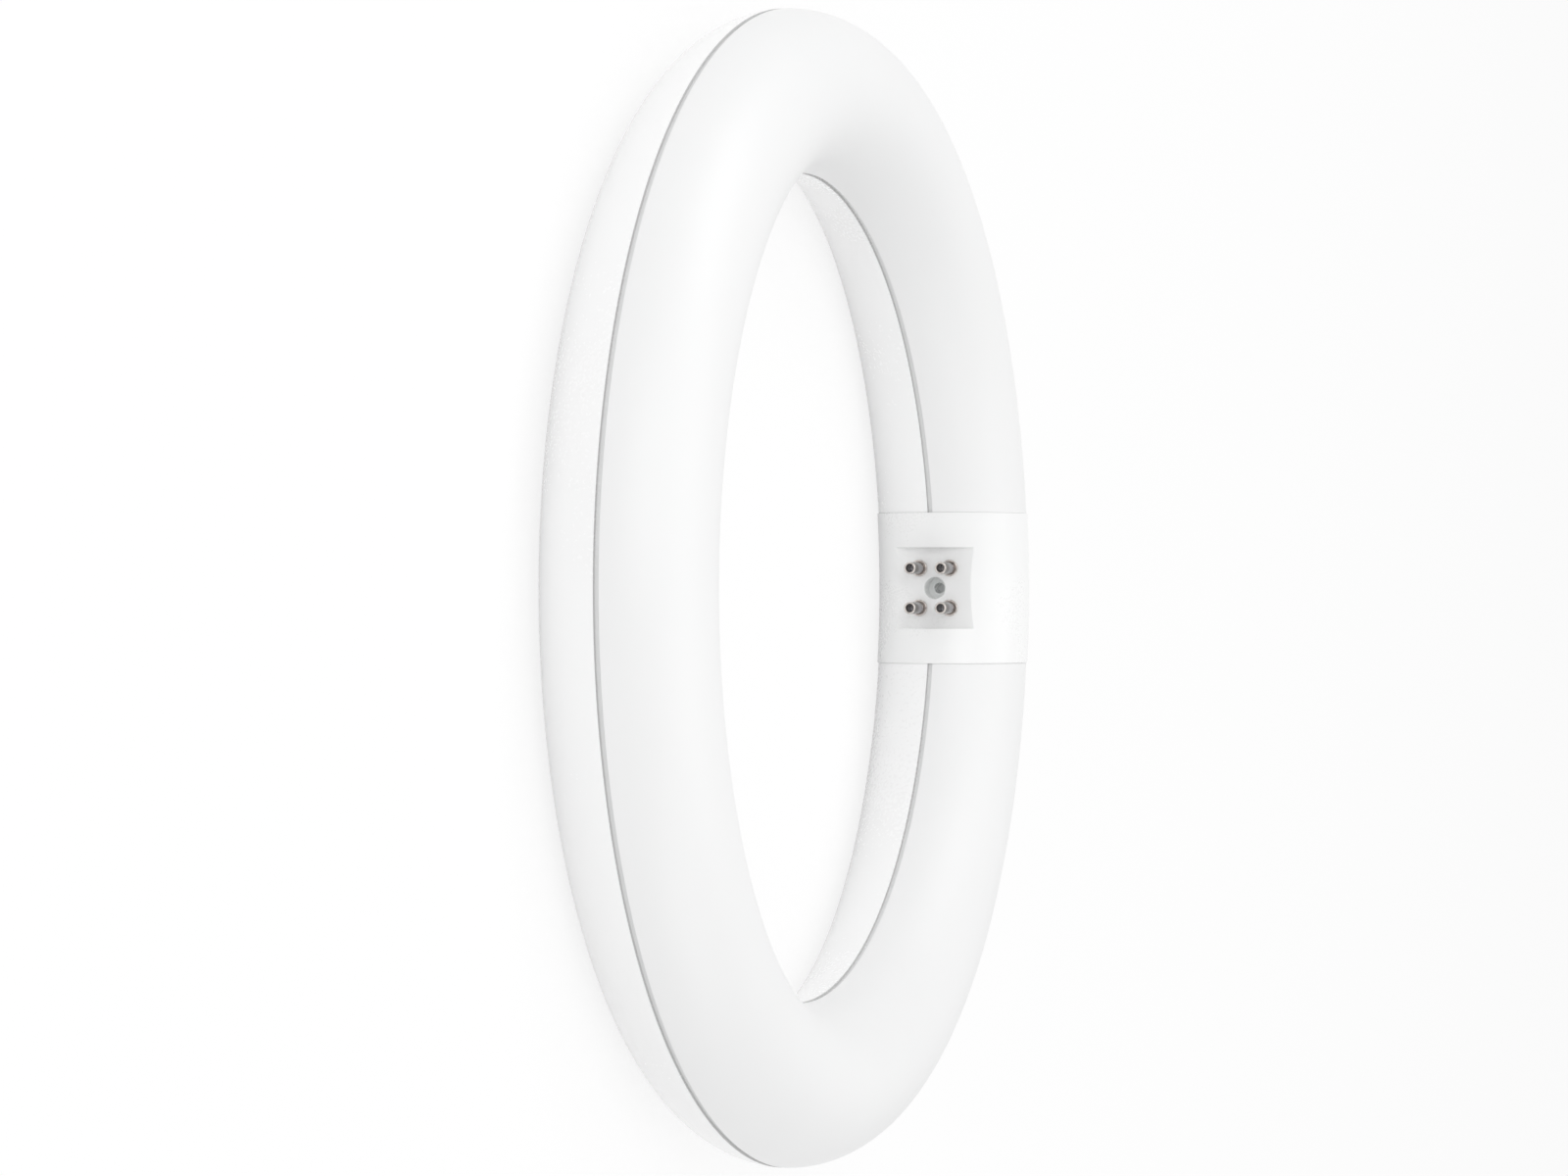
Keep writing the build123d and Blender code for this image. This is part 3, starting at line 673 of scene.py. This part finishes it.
def half_shell(ring, hand, end):
    """A half shell swept in whole steps to just past the collar's ends, and trimmed there."""
    bm = bmesh.new()
    step = 2 * pi / ring.ring_steps
    spared = int(asin(end / (ring.ring_radius + ring.tube_radius)) / step)
    steps = ring.ring_steps - 2 * spared
    shell_section(bm, ring, hand)
    sweep_ring(bm, step * spared, step * steps, steps)
    trim_ends(bm, end)
    return bm


def painted_seam_shade_values(ring, tint):
    """Inputs of the shells' material for the painted shade in the sunk line between them."""
    return {
        "Line colour": tint.seam,
        "Side colour": tint.seam_side_painted_shade,
        "Level": ring.middle,
        "Half width": ring.seam_width / 2 + MERGE,
    }


def add_necks(bm, ring, hand):
    """Adds the two thin necks that a half shell pushes into the collar."""
    for side in (1, -1):
        part = bmesh.new()
        centre = Vector((ring.ring_radius, 0, ring.middle))
        outer = arc(part, centre, ring.neck_outer, 0, hand * pi, NECK_STEPS)
        inner = arc(part, centre, ring.neck_inner, 0, hand * pi, NECK_STEPS)
        for outside, inside in zip(outer, inner):
            part.edges.new((outside, inside))
        reach = asin(ring.neck_root / (ring.ring_radius - ring.tube_radius)) * NECK_OVERRUN
        sweep_ring(part, 0, side * reach, NECK_SWEEP_STEPS)
        low, high = sorted((side * ring.neck_end, side * ring.neck_root))
        keep_between(part, low, high)
        join(bm, part)


def vent_axis(ring, number):
    """A vent's direction out of the tube's centre line, and the turn of the ring to its place."""
    out = Vector((-sin(ring.vent_lean), 0, -cos(ring.vent_lean)))
    return out, Matrix.Rotation(ring.vent_start + number * ring.vent_step, 4, "Z")


def pierce(bm, centre, out, radius, outer, inner):
    """A round hole through both skins of a wall, with its own wall between them."""
    rims = []
    for skin in (outer, inner):
        spot = centre + out * skin
        near = VENT_CLEARING * radius
        gone = [f for f in bm.faces if (f.calc_center_median() - spot).length < near]
        gone = [f for f in gone if abs(f.normal.dot(out)) > VENT_FACING]
        bmesh.ops.delete(bm, geom=gone, context="FACES")
        edge = [e for e in bm.edges if e.is_boundary]
        edge = [e for e in edge if (e.verts[0].co - spot).length < VENT_REACH * radius]
        turn = Matrix.Translation(spot) @ out.to_track_quat("Z", "Y").to_matrix().to_4x4()
        circle = bmesh.ops.create_circle(bm, segments=VENT_STEPS, radius=radius, matrix=turn)
        ring_edges = list({e for v in circle["verts"] for e in v.link_edges})
        bmesh.ops.bridge_loops(bm, edges=edge + ring_edges)
        rims += ring_edges
    bmesh.ops.bridge_loops(bm, edges=rims)


def add_lip(bm, ring):
    """Adds the back shell's lip, which centres the front shell, on both sides of the tube."""
    low, high = ring.middle - ring.lip_root, ring.middle + ring.lip_height
    root = ring.tube_radius - ring.wall / 2
    rim = ring.middle - ring.lip_sink
    outline = [
        (ring.lip_inner, low), (root, low), (root, rim),
        (ring.lip_outer, rim), (ring.lip_outer, high), (ring.lip_inner, high),
    ]
    for side in (1, -1):
        part = bmesh.new()
        places = [Vector((ring.ring_radius + side * offset, 0, z)) for offset, z in outline]
        first = part.verts.new(places[0])
        chain(part, first, places[1:], first)
        start = asin(ring.lip_end / (ring.ring_radius + ring.tube_radius)) * LIP_START
        sweep_ring(part, start, 2 * pi - 2 * start, LIP_SWEEP_STEPS)
        trim_ends(part, ring.lip_end)
        join(bm, part)


def collar_rows(half_length, pocket_half):
    """Distances along the collar at which its skin has vertices, also at the pocket's ends."""
    rows = [-half_length + (half_length - pocket_half) * n / END_ROWS for n in range(END_ROWS)]
    rows += [-pocket_half + 2 * pocket_half * n / POCKET_ROWS for n in range(POCKET_ROWS // 2)]
    return [*rows, 0.0, *(-y for y in reversed(rows))]


def sweep_collar(bm, ring, size, pocket_half):
    """Sweeps a section along the collar, with its vertices turned to lie in straight rows."""
    rows = collar_rows(size.half_length, pocket_half)
    reach = asin(size.half_length / ring.ring_radius)
    step = 2 * reach / (len(rows) - 1)
    sweep_ring(bm, -reach, 2 * reach, len(rows) - 1)
    for vert in bm.verts:
        x, y, z = vert.co
        along = rows[round((atan2(y, x) + reach) / step)]
        vert.co = (sqrt(x * x + y * y - along * along), along, z)


def collar_skin(ring, size, radius, pocket_x, pocket_half, hole):
    """One skin of the collar's inner part, with the pocket of the recess pressed into it."""
    bm = bmesh.new()
    centre = Vector((ring.ring_radius, 0, ring.middle))
    start = size.parting + size.parting_gap
    arc(bm, centre, radius, start, 2 * (pi - start), SKIN_STEPS)
    sweep_collar(bm, ring, size, pocket_half)
    for vert in bm.verts:
        if abs(vert.co.y) < pocket_half + MERGE and abs(vert.co.x - pocket_x) < size.snap:
            out = hypot(pocket_x, vert.co.y) - ring.ring_radius
            rise = copysign(sqrt(radius * radius - out * out), vert.co.z - ring.middle)
            vert.co = (pocket_x, vert.co.y, ring.middle + rise)
    slice_off(bm, bm.faces, (pocket_x, 0, 0), (1, 0, 0), clear=False)
    gone = [f for f in bm.faces if abs(f.calc_center_median().y) < pocket_half]
    gone = [f for f in gone if f.calc_center_median().x < pocket_x]
    bmesh.ops.delete(bm, geom=gone, context="FACES")
    turn = Matrix.Translation((pocket_x, 0, ring.middle)) @ FACING
    circle = bmesh.ops.create_circle(bm, segments=ROUND_STEPS, radius=hole, matrix=turn)["verts"]
    chords = []
    for hand in (1, -1):
        wall = rim_edges(bm, 1, hand * pocket_half)
        wall = [e for e in wall if max(v.co.x for v in e.verts) < pocket_x + MERGE]
        corners = {v for e in wall for v in e.verts if abs(v.co.x - pocket_x) < MERGE}
        chord = bm.edges.new(sorted(corners, key=lambda v: v.co.z))
        bmesh.ops.contextual_create(bm, geom=[*wall, chord])
        chords.append(chord)
    bottom = {*rim_edges(bm, 0, pocket_x), *chords, *(e for v in circle for e in v.link_edges)}
    bmesh.ops.triangle_fill(bm, edges=list(bottom), use_beauty=True, normal=(-1, 0, 0))
    return bm


def turned(ring, profile, steps, along=0.0, across=0.0):
    """A profile of (distance from the ring's axis, radius) spun about a line along X."""
    bm = bmesh.new()
    middle = ring.middle + across
    places = [Vector((x, along, middle + r)) for x, r in profile]
    chain(bm, bm.verts.new(places[0]), places[1:])
    section = [*bm.verts, *bm.edges]
    bmesh.ops.spin(
        bm, geom=section, cent=(0, along, middle), axis=(1, 0, 0), angle=2 * pi,
        steps=steps, use_merge=True,
    )
    bmesh.ops.remove_doubles(bm, verts=bm.verts, dist=MERGE)
    return bm


def stepped_hole(ring, size):
    """The stepped hole and the boss round it, as one profile spun about the hole's axis."""
    wide, narrow = size.hole_radius, size.bore_radius
    ledge = size.floor_x + size.hole_depth
    end = ledge + size.bore_depth
    boss = wide + size.boss_wall
    profile = [
        (size.floor_x, wide), (ledge, wide), (ledge, narrow),
        (end, narrow), (end, boss), (size.floor_x + size.floor_wall, boss),
    ]
    return turned(ring, profile, ROUND_STEPS)


def cover_post(ring, size):
    """The post behind the stepped hole, with its screw hole."""
    start = size.floor_x + size.hole_depth + size.bore_depth + size.post_gap
    root = ring.ring_radius + size.radius - size.wall / 2
    pilot_end = start + size.pilot_depth
    profile = [
        (pilot_end, 0), (pilot_end, size.pilot_radius), (start, size.pilot_radius),
        (start, size.post_radius), (root, size.post_radius), (root, 0),
    ]
    return turned(ring, profile, POST_STEPS)


def soften(made, width):
    """Rounds a piece's sharp edges a little."""
    rounding = made.modifiers.new("soft edges", "BEVEL")
    rounding.width = width
    rounding.segments = 2
    rounding.limit_method = "ANGLE"
    rounding.angle_limit = ROUNDED_ANGLE
    rounding.use_clamp_overlap = False
    rounding.harden_normals = False


class LAMP_OT_front_shell(bpy.types.Operator):
    """Makes the satin opal front half of the tube"""

    bl_idname = "lamp.front_shell"
    bl_label = "Opal Front"

    def execute(self, context):
        scene = context.scene
        ring, size, tint = scene.lamp_ring, scene.lamp_collar, scene.lamp_colours
        bm = half_shell(ring, 1, size.half_length + size.gap)
        add_necks(bm, ring, 1)
        opal = material(
            "satin opal plastic",
            "seamed",
            {
                **painted_seam_shade_values(ring, tint),
                "Colour": tint.opal,
                "Shade": tint.opal_shade,
                "Cloud scale": 14.0,
                "Grain scale": 1800.0,
                "Roughness": 0.42,
                "Gloss change": 0.03,
            },
            bump=0.05,
        )
        piece("opal_front", bm, opal, ["front_diffuser"])
        return {"FINISHED"}


class LAMP_OT_back_shell(bpy.types.Operator):
    """Makes the white back half of the tube with its four vents"""

    bl_idname = "lamp.back_shell"
    bl_label = "White Back"

    def execute(self, context):
        scene = context.scene
        ring, size, tint = scene.lamp_ring, scene.lamp_collar, scene.lamp_colours
        bm = half_shell(ring, -1, size.half_length + size.gap)
        bm.normal_update()
        for number in range(VENT_COUNT):
            out, turn = vent_axis(ring, number)
            centre = turn @ Vector((ring.ring_radius, 0, ring.middle))
            direction = turn.to_3x3() @ out
            inner = ring.tube_radius - ring.wall
            pierce(bm, centre, direction, ring.vent_radius, ring.tube_radius, inner)
        add_necks(bm, ring, -1)
        add_lip(bm, ring)
        white = material(
            "white shell plastic",
            "seamed",
            {
                **painted_seam_shade_values(ring, tint),
                "Colour": tint.white,
                "Shade": tint.white_shade,
                "Cloud scale": 18.0,
                "Grain scale": 1500.0,
                "Roughness": 0.26,
                "Gloss change": 0.02,
            },
            bump=0.02,
        )
        piece("white_back", bm, white, ["rear_housing"])
        return {"FINISHED"}


class LAMP_OT_collar(bpy.types.Operator):
    """Makes the collar with its recess and stepped hole, and the cover behind it"""

    bl_idname = "lamp.collar"
    bl_label = "Collar"

    def execute(self, context):
        scene = context.scene
        ring, size, tint = scene.lamp_ring, scene.lamp_collar, scene.lamp_colours
        plastic = material(
            "collar plastic",
            "holed",
            {
                # Painted shade greys the plastic inside the stepped hole.
                "Hole colour": size.painted_hole_shade,
                "Hole centre": (size.floor_x + size.painted_shade_depth, 0, ring.middle),
                "Hole reach": hypot(size.painted_shade_depth, size.hole_radius) - MERGE,
                "Colour": tint.collar,
                "Shade": tint.collar_shade,
                "Cloud scale": 60.0,
                "Grain scale": 2600.0,
                "Roughness": 0.3,
                "Gloss change": 0.04,
            },
            bump=0.04,
        )
        bm = stepped_hole(ring, size)
        half, hole = size.recess_half, size.hole_radius
        join(bm, collar_skin(ring, size, size.radius, size.floor_x, half, hole))
        inner_radius = size.radius - size.wall
        back_x = size.floor_x + size.floor_wall
        boss = hole + size.boss_wall
        join(bm, collar_skin(ring, size, inner_radius, back_x, half + size.wall, boss))
        bmesh.ops.remove_doubles(bm, verts=bm.verts, dist=MERGE)
        bmesh.ops.bridge_loops(bm, edges=[e for e in bm.edges if e.is_boundary])
        soften(piece("collar", bm, plastic, ["base_collar"]), size.softness)

        bm = bmesh.new()
        centre = Vector((ring.ring_radius, 0, ring.middle))
        outer = arc(bm, centre, size.radius, -size.parting, 2 * size.parting, COVER_STEPS)
        inner = arc(bm, centre, inner_radius, -size.parting, 2 * size.parting, COVER_STEPS)
        for outside, inside in zip(outer, inner):
            bm.edges.new((outside, inside))
        sweep_collar(bm, ring, size, half)
        for hand in (1, -1):
            bmesh.ops.holes_fill(bm, edges=rim_edges(bm, 1, hand * size.half_length))
        join(bm, cover_post(ring, size))
        soften(piece("collar_back", bm, plastic, ["collar_cover"]), size.softness)
        return {"FINISHED"}


class LAMP_OT_contact_pins(bpy.types.Operator):
    """Turns the four hollow contact pins"""

    bl_idname = "lamp.contact_pins"
    bl_label = "Contact Pins"

    def execute(self, context):
        scene = context.scene
        ring, size, tint = scene.lamp_ring, scene.lamp_pins, scene.lamp_colours
        floor_x = scene.lamp_collar.floor_x
        # The plating's tones are painted highlight, painted shade and a darker painted reflection.
        plating = material(
            "nickel plating",
            "plated",
            {
                "Rim colour": tint.pin,
                "Band colour": tint.pin_painted_shade_and_tarnish,
                "Shank colour": tint.pin_shank_painted_reflection,
                "Tip": floor_x - size.height,
                "Foot": floor_x,
                "Roughness": 0.2,
            },
            bump=0.1,
            metal=1.0,
        )
        cup_start = size.rivet_start + size.rivet_height
        cup_end = cup_start + size.cup_length
        heights = [
            (size.height - size.bore_depth, 0),
            (size.height - size.bore_depth, size.bore_radius),
            (size.height, size.bore_radius),
            (size.height, size.radius),
            (size.flange_height - size.groove_depth, size.radius),
            (size.flange_height - size.groove_depth, size.groove_radius),
            (size.flange_height, size.groove_radius),
            (size.flange_height, size.flange_radius),
            (0, size.flange_radius),
            (0, size.shank_radius),
            (-size.rivet_start, size.shank_radius),
            (-size.rivet_start, size.rivet_radius),
            (-cup_start, size.shank_radius),
            (-cup_end, size.shank_radius),
            (-cup_end, size.cup_radius),
            (size.cup_depth - cup_end, size.cup_radius),
            (size.cup_depth - cup_end, 0),
        ]
        profile = [(floor_x - height, radius) for height, radius in heights]
        number = 0
        for along in (1, -1):
            for across in (1, -1):
                number += 1
                bm = turned(
                    ring, profile, ROUND_STEPS,
                    along * size.spacing_along / 2, across * size.spacing_across / 2,
                )
                stood_for = [f"contact_pin_{number}"]
                made = piece(f"pin_{number}", bm, plating, stood_for)
                soften(made, size.rounding)
        return {"FINISHED"}


# Material, effect, two colours, roughness and the nodes of the pieces inside the lamp
INSIDE_FINISHES = [
    ("white solder mask", "moulded", (0.8, 0.8, 0.77), (0.74, 0.74, 0.7), 0.35, ["led_board"]),
    ("phosphor resin", "moulded", (0.85, 0.7, 0.2), (0.9, 0.85, 0.6), 0.4, ["led_chips"]),
    ("green board", "moulded", (0.02, 0.14, 0.05), (0.03, 0.2, 0.08), 0.3, ["driver_board"]),
    ("fuse coat", "moulded", (0.05, 0.16, 0.11), (0.08, 0.2, 0.14), 0.45, ["fuse_resistor"]),
    ("varistor coat", "moulded", (0.02, 0.06, 0.26), (0.03, 0.08, 0.32), 0.35, ["varistor"]),
    (
        "black resin", "moulded", (0.012, 0.012, 0.013), (0.02, 0.02, 0.02), 0.5,
        [
            "bridge_rectifier", "transformer_bobbin", "controller_chip", "chip_resistors",
            "output_diode",
        ],
    ),
    ("film box", "moulded", (0.6, 0.2, 0.02), (0.5, 0.16, 0.02), 0.3, ["film_capacitor"]),
    (
        "ferrite", "moulded", (0.02, 0.02, 0.022), (0.035, 0.034, 0.035), 0.7,
        ["choke_core", "transformer_core"],
    ),
    (
        "capacitor sleeve", "moulded", (0.01, 0.012, 0.03), (0.015, 0.018, 0.04), 0.25,
        ["bulk_capacitor", "output_capacitor"],
    ),
    (
        "lead insulation", "moulded", (0.75, 0.74, 0.7), (0.68, 0.67, 0.63), 0.4,
        ["pin_lead_1", "pin_lead_2", "pin_lead_3", "pin_lead_4"],
    ),
    (
        "screw steel", "turned", (0.55, 0.55, 0.56), (0.4, 0.38, 0.36), 0.3,
        ["board_screws", "driver_screws"],
    ),
    ("tinned wire", "turned", (0.7, 0.69, 0.67), (0.5, 0.48, 0.45), 0.25, ["board_link_pins"]),
    ("copper wire", "wound", (0.65, 0.25, 0.1), (0.2, 0.06, 0.03), 0.3, ["choke_winding"]),
    ("winding tape", "wound", (0.75, 0.55, 0.04), (0.5, 0.34, 0.03), 0.4, ["transformer_winding"]),
]


class LAMP_OT_inside(bpy.types.Operator):
    """Gives the boards, chips, screws, driver parts and leads their materials"""

    bl_idname = "lamp.inside"
    bl_label = "Inside Parts"

    def execute(self, context):
        plastic = {"Cloud scale": 120.0, "Grain scale": 3000.0, "Gloss change": 0.06}
        metal = {"Line scale": 4000.0}
        seconds = {"moulded": "Shade", "turned": "Tarnish", "wound": "Gap colour"}
        extras = {"moulded": plastic, "turned": metal, "wound": {"Turns": 600.0}}
        for name, kind, first, second, rough, members in INSIDE_FINISHES:
            values = {"Colour": first, seconds[kind]: second, "Roughness": rough, **extras[kind]}
            metal_share = float(kind == "turned")
            dress(material(name, kind, values, bump=0.2, metal=metal_share), *members)
        return {"FINISHED"}


class LAMP_OT_stage(bpy.types.Operator):
    """Makes the floor, the lights and the camera"""

    bl_idname = "lamp.stage"
    bl_label = "Studio"

    def execute(self, context):
        scene = context.scene
        studio, ring = scene.lamp_studio, scene.lamp_ring
        self.floor(scene, studio)
        self.sky(scene, studio)
        centre = Vector((0, 0, ring.middle))
        for name, place, size, watts in SOFT_BOXES:
            self.lamp(name, place, centre, size, getattr(studio, watts))
        self.camera(scene, studio, centre)
        scene.view_settings.view_transform = "Standard"
        return {"FINISHED"}

    def floor(self, scene, studio):
        bm = bmesh.new()
        bmesh.ops.create_grid(bm, x_segments=1, y_segments=1, size=studio.floor_size / 2)
        mesh = bpy.data.meshes.new("floor")
        bm.to_mesh(mesh)
        bm.free()
        floor = bpy.data.objects.new("floor", mesh)
        scene.collection.objects.link(floor)
        made = bpy.data.materials.new("floor")
        made.use_nodes = True
        tree = made.node_tree
        shader = tree.nodes["Principled BSDF"]
        shader.inputs["Base Color"].default_value = (*scene.lamp_colours.floor, 1)
        shader.inputs["Roughness"].default_value = 0.9
        shader.inputs["Specular IOR Level"].default_value = 0.1
        glow = put(tree, "ShaderNodeEmission", {"Color": (1, 1, 1, 1), "Strength": 1.0})
        share = arithmetic(tree, "MULTIPLY", seen_rays(tree), 1 - studio.shadow)
        end_in_blend(tree, share, shader, glow, "Material Output")
        mesh.materials.append(made)

    def sky(self, scene, studio):
        world = bpy.data.worlds.new("room")
        world.use_nodes = True
        tree = world.node_tree
        room = tree.nodes["Background"]
        room.inputs["Strength"].default_value = studio.sky
        room.inputs["Color"].default_value = (1, 1, 1, 1)
        seen = put(tree, "ShaderNodeBackground", {"Color": (1, 1, 1, 1), "Strength": 1.0})
        end_in_blend(tree, seen_rays(tree), room, seen, "World Output")
        scene.world = world

    def lamp(self, name, place, aim, size, watts):
        data = bpy.data.lights.new(name, "AREA")
        data.shape = "RECTANGLE"
        data.size, data.size_y = size
        data.energy = watts
        lamp = bpy.data.objects.new(name, data)
        lamp.location = place
        lamp.rotation_mode = "QUATERNION"
        lamp.rotation_quaternion = (aim - Vector(place)).to_track_quat("-Z", "Y")
        bpy.context.scene.collection.objects.link(lamp)

    def camera(self, scene, studio, centre):
        back = Vector((-cos(studio.camera_height), 0, sin(studio.camera_height)))
        up = Vector((0, 1, 0))
        turn = Matrix((up.cross(back), up, back)).transposed().to_4x4()
        data = bpy.data.cameras.new("camera")
        data.sensor_width = SENSOR_WIDTH
        data.lens = studio.lens
        data.shift_x = studio.shift
        data.clip_start = NEAREST_SEEN
        camera = bpy.data.objects.new("camera", data)
        camera.matrix_world = Matrix.Translation(centre + back * studio.camera_distance) @ turn
        scene.collection.objects.link(camera)
        scene.camera = camera


OPERATORS = [
    LAMP_OT_front_shell,
    LAMP_OT_back_shell,
    LAMP_OT_collar,
    LAMP_OT_contact_pins,
    LAMP_OT_inside,
    LAMP_OT_stage,
]


class LAMP_PT_ring_lamp(bpy.types.Panel):
    """Lists the steps that build the lamp"""

    bl_idname = "LAMP_PT_ring_lamp"
    bl_label = "Circular LED Tube"
    bl_space_type = "VIEW_3D"
    bl_region_type = "UI"
    bl_category = "Ring Lamp"

    def draw(self, context):
        for operator in OPERATORS:
            self.layout.operator(operator.bl_idname)
        for name, group in GROUPS.items():
            box = self.layout.box()
            box.label(text=group.__doc__)
            for key in group.__annotations__:
                box.prop(getattr(context.scene, name), key)


def register():
    for group in GROUPS.values():
        bpy.utils.register_class(group)
    for name, group in GROUPS.items():
        setattr(bpy.types.Scene, name, PointerProperty(type=group))
    for operator in OPERATORS:
        bpy.utils.register_class(operator)
    bpy.utils.register_class(LAMP_PT_ring_lamp)


def unregister():
    bpy.utils.unregister_class(LAMP_PT_ring_lamp)
    for operator in reversed(OPERATORS):
        bpy.utils.unregister_class(operator)
    for name, group in GROUPS.items():
        delattr(bpy.types.Scene, name)
        bpy.utils.unregister_class(group)


def main():
    register()
    for operator in OPERATORS:
        area, name = operator.bl_idname.split(".")
        getattr(getattr(bpy.ops, area), name)()
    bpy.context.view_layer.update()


if __name__ == "__main__":
    main()
